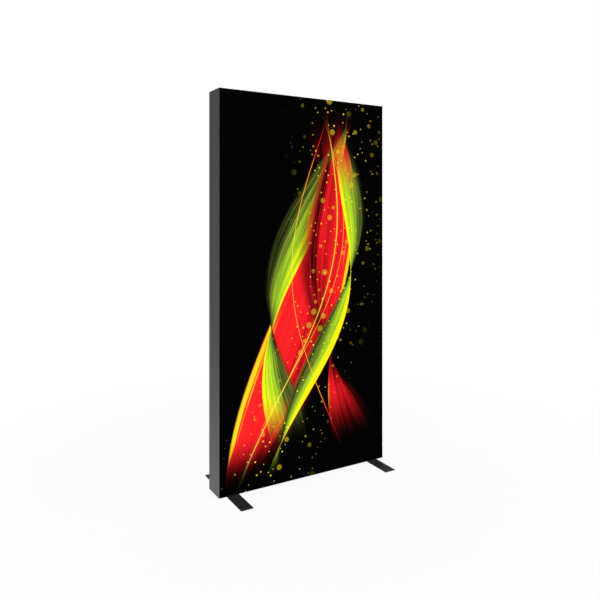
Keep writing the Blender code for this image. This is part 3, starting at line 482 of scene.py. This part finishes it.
RIBBONS = [
    Ribbon(
        Line(-0.36, 0.14, 2.0, 5.6, 0.26), Span(0.0, 0.35, 1.80, 2.36), RED_STOPS,
        half_width=0.30, twists=1.60, phase=0.35, glow=0.72, depth=0.45, seed=21.0,
    ),
    Ribbon(
        Line(-0.20, 0.20, 2.3, 2.2, 0.15), Span(0.15, 0.55, 1.95, 2.40), LIME_STOPS,
        half_width=0.16, twists=2.50, phase=0.80, glow=0.86, depth=0.60, seed=11.0,
    ),
    Ribbon(
        Line(0.40, 0.14, 2.2, 2.6, -0.14), Span(0.10, 0.55, 1.90, 2.38), RED_STOPS,
        half_width=0.22, twists=2.10, phase=1.60, glow=0.58, depth=0.55, seed=3.0,
    ),
    Ribbon(
        Line(-0.08, 0.16, 2.6, 4.4, 0.20), Span(0.0, 0.30, 1.70, 2.25), LIME_STOPS,
        half_width=0.10, twists=3.10, phase=2.40, glow=0.88, depth=0.55, seed=17.0,
    ),
]
THREADS = [
    Thread(
        Line(-0.30, 0.20, 2.0, 5.2, 0.22), Span(0.0, 0.3, 1.9, 2.3), LIME_STOPS,
        half_width=0.0032, haze=0.24,
    ),
    Thread(
        Line(-0.26, 0.24, 2.1, 5.0, 0.20), Span(0.1, 0.4, 2.0, 2.3), RED_STOPS,
        half_width=0.0024, haze=0.22,
    ),
    Thread(
        Line(0.16, 0.22, 1.9, 2.4, -0.04), Span(0.1, 0.5, 1.9, 2.3), RED_STOPS,
        half_width=0.0026, haze=0.22,
    ),
]
SPARKS = [
    Sparks(pitch=0.034, lit_share=0.20, radius_share=0.20, strength=0.90, turn=0.55),
    Sparks(pitch=0.085, lit_share=0.26, radius_share=0.28, strength=0.30, turn=-0.35),
]

# A ribbon goes from -1 to 1 across and has one lit edge. Tone is added where it twists and where it
# lies flat, and its ends keep a share of their tone. The pace is how often its strands change in a metre
EDGE_PLACE = -0.94
EDGE_WIDTH = 0.028
EDGE_GLOW = 0.36
NARROWEST_SHARE = 0.04
TWIST_TONE = -0.25
FLAT_TONE = 0.08
END_TONE_SHARE = 0.35
STRAND_PACE = 1.2

# A thread is at its full light over a share of its width, and its haze reaches further out
THREAD_LIGHT = 0.80
THREAD_CORE_SHARE = 0.35
HAZE_WIDTHS = 5.0

# Sparks are brightest along one line, and none is further from it than the reach
SPARK_COLOUR = (1.0, 0.72, 0.02)
SPARK_LINE = Line(-0.20, 0.12, 2.0, 5.4, 0.22)
SPARK_REACH = 0.42
SPARK_CORE_SHARE = 0.70
LEAST_RADIUS_SHARE = 0.35


def strands(g, across, along, seed):
    """Fine and broad strands of light that run along a ribbon, from 0 to 1."""
    broad = g.noise(g.vector(across * 4.0 + seed, along, seed), 1.0, 2.0, 0.55)
    fine = g.noise(g.vector(across * 20.0 + seed, along * 0.6, seed + 7.0), 1.0, 3.0, 0.6)
    return 0.55 * g.smooth(broad, *NOISE_RANGE) + 0.45 * g.smooth(fine, 0.34, 0.68)


def stretch(g, z, span):
    """One where the form is full, fading to nothing at its start and end."""
    return g.smooth(z, span.start, span.full) * g.smooth(z, span.fade, span.end, 1.0, 0.0)


def wave(g, z, line):
    """Place across the panel of a line at that height."""
    return line.middle + line.lean * z + line.swing * g.math("SINE", z * line.turns + line.phase)


def twist(g, ribbon, off, z):
    """Place across a ribbon, from -1 to 1, and how flat it lies. A twist changes its sides over."""
    signed = g.math("SINE", z * ribbon.twists + ribbon.phase)
    narrow = g.math("SQRT", signed * signed + NARROWEST_SHARE ** 2)
    return off * g.math("SIGN", signed) / (narrow * ribbon.half_width), abs(signed)


def satin(g, ribbon, across, along, fade):
    """Tone of a ribbon: a lit edge that tapers off with the fade, strands, and a fall into shade."""
    body = g.smooth(across, -0.9, 1.1, 1.0, 0.0)
    from_edge = abs(across - EDGE_PLACE) / (0.02 + 0.98 * fade)
    edge = g.smooth(from_edge, 0.0, EDGE_WIDTH / ribbon.half_width, EDGE_GLOW, 0.0)
    light = strands(g, across, along, ribbon.seed) - 0.5
    slow = g.noise(g.vector(along * 0.9, ribbon.seed, 0.0), 1.0, 1.0) - 0.5
    return body * ribbon.glow + edge + ribbon.depth * light + 0.5 * slow


def thread(g, row, off, z):
    """Fine line of light that rises up the panel in a faint glow."""
    core = g.smooth(off, row.half_width * THREAD_CORE_SHARE, row.half_width, THREAD_LIGHT, 0.0)
    glow = g.smooth(off, 0.0, row.half_width * HAZE_WIDTHS, row.haze, 0.0)
    return (core + glow) * stretch(g, z, row.span)


def sparks(g, layer, x, z):
    """Round soft sparks of unlike sizes, scattered in their cells so that none is cut."""
    across = (x * math.cos(layer.turn) + z * math.sin(layer.turn)) / layer.pitch
    up = (z * math.cos(layer.turn) - x * math.sin(layer.turn)) / layer.pitch
    scatter = 1.0 - 2.0 * layer.radius_share
    inputs = {"Vector": g.vector(across, up, 0.0), "Scale": 1.0, "Randomness": scatter}
    cells = g.node("ShaderNodeTexVoronoi", inputs, voronoi_dimensions="2D")
    chance, size, _ = g.apart(cells.outputs["Color"])
    radius = layer.radius_share * (LEAST_RADIUS_SHARE + (1.0 - LEAST_RADIUS_SHARE) * size)
    near = Number(g, cells.outputs["Distance"]) / radius
    light = g.smooth(near, SPARK_CORE_SHARE, 1.0, layer.strength, 0.0)
    dark_share = 1.0 - layer.lit_share
    return light * g.smooth(chance, dark_share - 0.01, dark_share)


def design(g, x, z):
    """Colour of the print. x runs across the panel from its middle, and z up from its lower edge."""
    total = opaque((0.0, 0.0, 0.0))
    for ribbon in RIBBONS:
        across, flat = twist(g, ribbon, x - wave(g, z, ribbon.line), z)
        fade = stretch(g, z, ribbon.span)
        tone = satin(g, ribbon, across, z * STRAND_PACE, fade)
        tone = tone + g.smooth(flat, 0.0, 0.5, TWIST_TONE, FLAT_TONE)
        tone = tone * g.smooth(fade, 0.0, 0.9, END_TONE_SHARE, 1.0)
        cover = g.smooth(across, -1.0, EDGE_PLACE) * g.smooth(across, 0.45, 1.0, 1.0, 0.0) * fade * fade
        total = g.mix(cover, total, g.ramp(tone, ribbon.stops))

    for row in THREADS:
        off = abs(x - wave(g, z, row.line))
        light = g.ramp(thread(g, row, off, z), row.stops)
        total = g.mix(1.0, total, light, "SCREEN")

    near_line = g.smooth(abs(x - wave(g, z, SPARK_LINE)), 0.0, SPARK_REACH, 1.0, 0.0)
    for layer in SPARKS:
        light = g.tint(SPARK_COLOUR, sparks(g, layer, x, z) * near_line)
        total = g.mix(1.0, total, light, "SCREEN")
    return total


# Cloth
def knit(g, x, z):
    """Height of a warp knit: rows of small loops, between 0 and 1."""
    wale = g.math("SINE", x * (math.tau / KNIT_PITCH))
    course = g.math("SINE", z * (math.tau / KNIT_PITCH) + COURSE_SWAY * wale)
    return 0.5 + 0.25 * (wale + course)


def cloth_place(g):
    """Metres across the cloth from its middle, and up from the frame's lower edge."""
    x, z, _ = g.apart(g.node("ShaderNodeUVMap", uv_map="cloth").outputs[0])
    return x, z


def front_print():
    """Dye print on knitted polyester, lit from behind."""
    g = surface("front_print", Roughness=0.85, Specular_IOR_Level=0.01, Emission_Strength=0.35)
    x, z = cloth_place(g)
    loops = knit(g, x, z)
    ink = g.mix(1.0, design(g, x, z), opaque(DARKEST_INK), "ADD")
    thick = g.streaks((x, 0.0, z), (70.0, 0.0, 900.0))
    through = 0.78 + 0.30 * loops + 0.14 * thick
    g.shade(Base_Color=g.tint(ink, 0.75 * through))
    g.shade(Emission_Color=g.tint(ink, through))
    g.bump(loops, KNIT_BUMP)
    return g.owner


def rear_liner():
    """Black light-blocking cloth, coated, with its knit, thick yarns and lint just showing."""
    g = surface("rear_liner", Specular_IOR_Level=0.12, Sheen_Weight=0.06, Sheen_Roughness=0.4)
    x, z = cloth_place(g)
    loops = knit(g, x, z)
    place = (x, 0.0, z)
    cloud = g.smooth(g.streaks(place, (2.6, 0.0, 9.0), 4.0, 0.55), *NOISE_RANGE)
    lint = g.smooth(g.streaks(place, (900.0, 0.0, 300.0)), 0.70, 0.80)
    thick = g.streaks(place, (60.0, 0.0, 900.0))
    level = 0.05 + 1.20 * loops + 0.24 * cloud + 0.50 * thick + 1.2 * lint
    g.shade(Base_Color=g.tint(LINER_BLACK, level))
    g.shade(Roughness=0.62 + 0.26 * loops)
    g.bump(loops + 0.3 * thick, 100 * MICROMETRE)
    return g.owner


def cloth_back(name, colour):
    """Unprinted inner side of a cloth."""
    g = surface(name, Roughness=0.9, Specular_IOR_Level=0.1)
    x, z = cloth_place(g)
    loops = knit(g, x, z)
    g.shade(Base_Color=g.tint(colour, 0.85 + 0.15 * loops))
    g.bump(loops, KNIT_BUMP)
    return g.owner


# Fabrics
def ease(value, low, high):
    """Goes smoothly from 0 to 1 between low and high."""
    t = min(1.0, max(0.0, (value - low) / (high - low)))
    return t * t * (3 - 2 * t)


def swell(distance, full, fall, end):
    """Grows from 0 at no distance to 1 at full, and goes back to 0 between fall and end."""
    return ease(distance, 0.0, full) * (1 - ease(distance, fall, end))


def grid_line(low, high):
    """Places between two edges, evenly spaced but closer together near each edge."""
    margin = CLOTH_EDGE_GRID[-1]
    count = round((high - low - 2 * margin) / CLOTH_GRID)
    step = (high - low - 2 * margin) / count
    inner = [low + margin + step * i for i in range(count + 1)]
    near_low = [low] + [low + d for d in CLOTH_EDGE_GRID[:-1]]
    near_high = [high - d for d in reversed(CLOTH_EDGE_GRID[:-1])] + [high]
    return near_low + inner + near_high


def sink(x, z, low, high, phase):
    """How far the stretched face lies in: small puckers by its edges and folds towards its corners."""
    from_sides = min(x - low[0], high[0] - x)
    from_ends = min(z - low[1], high[1] - z)
    depth = 0.0
    for distance, along, shift in ((from_sides, z, phase), (from_ends, x, phase + 2.0)):
        relief = 0.5
        for share, pitch_share, phase_share in PUCKER_WAVES:
            turn = math.tau * along / (PUCKER_PITCH * pitch_share) + phase_share * shift
            relief += share * math.sin(turn)
        depth += PUCKER_DEPTH * swell(distance, *PUCKER_REACH) * relief
    from_corner = math.hypot(from_sides, from_ends)
    angle = math.atan2(from_ends, from_sides)
    fold = 0.5 + 0.5 * math.cos(FOLDS_PER_TURN * (angle - math.pi / 4))
    return depth + FOLD_DEPTH * swell(from_corner, *FOLD_REACH) * fold


def rim(last_column, last_row):
    """The grid's border points in order, each with its way out. A corner comes once for each way."""
    border = [(i, 0, (0, -1)) for i in range(last_column)]
    border += [(last_column, j, (1, 0)) for j in range(last_row)]
    border += [(i, last_row, (0, 1)) for i in range(last_column, 0, -1)]
    border += [(0, j, (-1, 0)) for j in range(last_row, 0, -1)]
    points = []
    for count, (i, j, outward) in enumerate(border):
        before = border[count - 1][2]
        if before != outward:
            start = math.atan2(before[1], before[0])
            for step in range(CORNER_STEPS):
                angle = start + math.pi / 2 * step / CORNER_STEPS
                points.append((i, j, (math.cos(angle), math.sin(angle))))
        points.append((i, j, outward))
    return points


def turned_hem(length):
    """Rows of the hem from the face's edge into the groove: how far out, deep and along the cloth."""
    rows = []
    for step in range(1, TURN_STEPS + 1):
        angle = math.pi / 2 * step / TURN_STEPS
        out, depth = TURN_RADIUS * math.sin(angle), TURN_RADIUS * (1 - math.cos(angle))
        rows.append((out, depth, TURN_RADIUS * angle))
    for step in range(1, HEM_STEPS + 1):
        run = length * step / HEM_STEPS
        rows.append((TURN_RADIUS, TURN_RADIUS + run, TURN_RADIUS * math.pi / 2 + run))
    return rows


def stretched_cloth(name, node, front, materials, phase):
    """Cloth stretched over the frame, its hem turned into the groove, with its flat size and area."""
    low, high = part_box(node)
    face_low = (low.x + TURN_RADIUS, low.z + TURN_RADIUS)
    face_high = (high.x - TURN_RADIUS, high.z - TURN_RADIUS)
    face_y = low.y if front < 0 else high.y
    base = NODES["bottom_rail"].bound_box[0][2]
    columns = grid_line(face_low[0], face_high[0])
    rows = grid_line(face_low[1], face_high[1])
    points, flat, faces = [], [], []

    def add(x, z, depth, flat_x, flat_z):
        points.append((x, face_y - front * depth, z))
        flat.append((flat_x, flat_z - base))
        return len(points) - 1

    grid = [
        [add(x, z, sink(x, z, face_low, face_high, phase), x, z) for x in columns]
        for z in rows
    ]
    for lower, upper in zip(grid, grid[1:]):
        for i in range(len(columns) - 1):
            faces.append((lower[i], lower[i + 1], upper[i + 1], upper[i]))

    border = rim(len(columns) - 1, len(rows) - 1)
    hem = turned_hem(high.y - low.y - TURN_RADIUS)
    ring_before = [grid[j][i] for i, j, _ in border]
    for out, depth, length in hem:
        ring_now = []
        for i, j, (dx, dz) in border:
            x, z = columns[i], rows[j]
            ring_now.append(add(x + out * dx, z + out * dz, depth, x + length * dx, z + length * dz))
        for k in range(len(border)):
            after = (k + 1) % len(border)
            corners = (ring_before[k], ring_now[k], ring_now[after], ring_before[after])
            faces.append(tuple(dict.fromkeys(corners)))
        ring_before = ring_now
    if front > 0:
        faces = [tuple(reversed(face)) for face in faces]

    cloth = thick_cloth(name, points, flat, faces, materials)
    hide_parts(node)
    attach(cloth, "frame")
    hem_length = hem[-1][2]
    width = face_high[0] - face_low[0] + 2 * hem_length
    height = face_high[1] - face_low[1] + 2 * hem_length
    area = width * height - (4 - math.pi) * hem_length ** 2
    return cloth, (width, height), area


def thick_cloth(name, points, flat, faces, materials):
    """Solid sheet from one surface, with the first material outside and the second inside."""
    mesh = bpy.data.meshes.new(name)
    mesh.from_pydata(points, [], faces)
    layer = mesh.uv_layers.new(name="cloth")
    for loop in mesh.loops:
        layer.data[loop.index].uv = flat[loop.vertex_index]
    mesh.shade_smooth()
    cloth = bpy.data.objects.new(name, mesh)
    bpy.context.scene.collection.objects.link(cloth)
    for material in materials:
        mesh.materials.append(material)
    shell = cloth.modifiers.new("Thickness", "SOLIDIFY")
    shell.thickness = CLOTH_THICKNESS
    shell.offset = -1
    shell.material_offset = 1
    solid = bpy.data.meshes.new_from_object(cloth.evaluated_get(bpy.context.evaluated_depsgraph_get()))
    cloth.modifiers.clear()
    cloth.data = solid
    add_bake_map(solid)
    return cloth


def add_bake_map(mesh):
    """Map that fills the unit square: the outer side wide, the inner side in a narrow strip."""
    spread = [loop.uv.copy() for loop in mesh.uv_layers["cloth"].data]
    low_x, high_x = min(uv.x for uv in spread), max(uv.x for uv in spread)
    low_z, high_z = min(uv.y for uv in spread), max(uv.y for uv in spread)
    layer = mesh.uv_layers.new(name="OFBake")
    for polygon in mesh.polygons:
        start, width = OUTER_STRIP if polygon.material_index == 0 else INNER_STRIP
        for index in polygon.loop_indices:
            uv = spread[index]
            across = (uv.x - low_x) / (high_x - low_x)
            up = (uv.y - low_z) / (high_z - low_z)
            layer.data[index].uv = (start + width * across, MAP_MARGIN + (1 - 2 * MAP_MARGIN) * up)


def dress_fabrics():
    """Puts the two cloths in the place of the plain trays."""
    white_back = cloth_back("print_back", PRINT_BACK)
    dark_back = cloth_back("liner_back", LINER_BACK)
    for name, node, front, outside, inside, slot, phase in (
        ("front_print_cloth", "front_fabric", -1, front_print(), white_back, "front_print", 0.4),
        ("rear_liner_cloth", "rear_fabric", 1, rear_liner(), dark_back, "rear_liner", 3.1),
    ):
        cloth, flat, area = stretched_cloth(name, node, front, (outside, inside), phase)


# Marks on the rocker
def circle(radius):
    angles = [math.tau * i / RING_STEPS for i in range(RING_STEPS)]
    return [(radius * math.cos(angle), radius * math.sin(angle)) for angle in angles]


def flat_shape(name, outlines):
    """Mesh of a thin plate with that outline, less the hole of a second one."""
    curve = bpy.data.curves.new(name, "CURVE")
    curve.dimensions = "2D"
    curve.fill_mode = "BOTH"
    curve.extrude = MARK_RISE
    for points in outlines:
        spline = curve.splines.new("POLY")
        spline.points.add(len(points) - 1)
        for point, (x, y) in zip(spline.points, points):
            point.co = (x, y, 0, 1)
        spline.use_cyclic_u = True
    guide = bpy.data.objects.new(name + "_guide", curve)
    bpy.context.scene.collection.objects.link(guide)
    mesh = bpy.data.meshes.new_from_object(guide.evaluated_get(bpy.context.evaluated_depsgraph_get()))
    bpy.data.objects.remove(guide)
    return mesh


def dress_rocker():
    """Raised bar and ring, for on and off, on the two halves of the rocker."""
    hinge = next(joint for joint in frame["joints"] if joint["name"] == "rocker_tilt")
    rest = math.radians(hinge["range_deg"][1]) / 2
    valley = Vector(hinge["pos_m"]) + Euler((0, 0, rest)).to_matrix() @ Vector((ROCKER_VALLEY, 0, 0))
    up = Vector((0, 0, 1))
    white = plastic(*MARK_PLASTIC)
    half, tall = MARK_LINE / 2, MARK_SIZE / 2
    bar = [[(-half, -tall), (half, -tall), (half, tall), (-half, tall)]]
    ring = [circle(tall), circle(tall - MARK_LINE)]
    marks = [("rocker_on_bar", bar, 1, 0.0), ("rocker_off_ring", ring, -1, 2 * rest)]
    for name, outlines, side, turn in marks:
        mesh = flat_shape(name, outlines)
        mesh.materials.append(white)
        made = bpy.data.objects.new(name, mesh)
        bpy.context.scene.collection.objects.link(made)
        turned = Euler((0, 0, turn)).to_matrix()
        facing, across = turned @ Vector((1, 0, 0)), turned @ Vector((0, 1, 0))
        spot = valley + across * side * MARK_PLACE
        for vertex in mesh.vertices:
            co = vertex.co.copy()
            vertex.co = spot + across * co.x + up * co.y + facing * co.z
        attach(made, "rocker")


def dress_nodes():
    """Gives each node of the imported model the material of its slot."""
    upright = anodised("anodised_upright", "Z")
    rail = anodised("anodised_rail", "X")
    by_slot = {
        "bracket_aluminium": mill_aluminium(),
        "silicone": silicone(),
        "foot_coating": powder_coat(),
        "screw_steel": zinc_steel(),
        "led_bar": led_bar(),
        "driver_case": driver_case(),
        "blade_plating": nickel_plate(),
        "fuse_ceramic": fuse_body(),
        **{row[0]: plastic(*row) for row in PLASTICS},
    }
    for part in frame["record"]["subparts"]:
        node, slot = part["node"], part["material_slot"]
        obj = NODES[node]
        if slot == "anodised_profile":
            material = rail if node.endswith("_rail") else upright
        else:
            material = by_slot.get(slot)
        if material:
            obj.data.materials.clear()
            obj.data.materials.append(material)


# Stage
def camera():
    data = bpy.data.cameras.new("camera")
    data.sensor_width = SENSOR_WIDTH
    data.lens = SENSOR_WIDTH * FOCAL_PIXELS / PHOTO_WIDTH
    data.shift_y = (HORIZON_ROW - PHOTO_WIDTH / 2) / PHOTO_WIDTH
    eye = bpy.data.objects.new("camera", data)
    eye.location = CAMERA_PLACE
    eye.rotation_euler = (math.radians(90), 0, -math.radians(CAMERA_TURN_DEGREES))
    bpy.context.scene.collection.objects.link(eye)
    bpy.context.scene.camera = eye


def seen_directly(g):
    """One for camera, glossy and transmission rays, and zero for the light that falls on things."""
    path = g.node("ShaderNodeLightPath").outputs
    rays = [Number(g, path[name]) for name in ("Is Camera Ray", "Is Glossy Ray", "Is Transmission Ray")]
    return g.math("MAXIMUM", g.math("MAXIMUM", rays[0], rays[1]), rays[2])


def light_world():
    """White all round, at a lower level where it lights things than where it is seen."""
    world = bpy.data.worlds.new("studio")
    bpy.context.scene.world = world
    g = Graph(world)
    background = g.tree.nodes["Background"]
    g.put(background.inputs["Color"], opaque(WHITE))
    g.put(background.inputs["Strength"], WORLD_LIGHT + (1.0 - WORLD_LIGHT) * seen_directly(g))


def floor():
    """White floor that fades into the background and keeps a soft shadow near the object."""
    half = FLOOR_HALF_SIZE
    mesh = bpy.data.meshes.new("floor")
    corners = [(-half, -half, 0), (half, -half, 0), (half, half, 0), (-half, half, 0)]
    mesh.from_pydata(corners, [], [(0, 1, 2, 3)])
    ground = bpy.data.objects.new("floor", mesh)
    bpy.context.scene.collection.objects.link(ground)
    g = surface("studio_floor")
    x, y, _ = g.place()
    away = g.math("SQRT", x * x + y * y)
    direct = seen_directly(g)
    colour = g.tint(WHITE, FLOOR_PAINT + (1.0 - FLOOR_PAINT) * direct)
    paint = g.node("ShaderNodeBsdfDiffuse", {"Color": colour}).outputs[0]
    glow = g.node("ShaderNodeEmission", {"Color": opaque(WHITE), "Strength": 1.0}).outputs[0]
    share = direct * g.smooth(away, *SHADOW_REACH, FLOOR_GLOW_SHARE, 1.0)
    mixed = g.node("ShaderNodeMixShader", {0: share, 1: paint, 2: glow}).outputs[0]
    g.put(g.tree.nodes["Material Output"].inputs["Surface"], mixed)
    mesh.materials.append(g.owner)


def lamp(name, target, place, size, power):
    """Rectangular area lamp that faces the target and isn't seen."""
    data = bpy.data.lights.new(name, "AREA")
    data.shape = "RECTANGLE"
    data.size, data.size_y = size
    data.energy = power
    light = bpy.data.objects.new(name, data)
    light.location = place
    light.rotation_mode = "QUATERNION"
    light.rotation_quaternion = (target - Vector(place)).to_track_quat("-Z", "Y")
    light.visible_camera = False
    bpy.context.scene.collection.objects.link(light)
    return light


def light_studio():
    """Two soft lamps in front, and a card by the floor that lights the left side from below."""
    middle = (cad_box[0] + cad_box[1]) / 2
    lamp("key_lamp", middle, *KEY_LAMP)
    lamp("fill_lamp", middle, *FILL_LAMP)
    above_card = Vector(BOUNCE_CARD[0]) + Vector((0, 0, 1))
    lamp("bounce_card", above_card, *BOUNCE_CARD).visible_glossy = False


bpy.context.scene.view_settings.view_transform = "Standard"
camera()
dress_nodes()
dress_fabrics()
dress_rocker()
light_world()
floor()
light_studio()

bpy.context.view_layer.update()
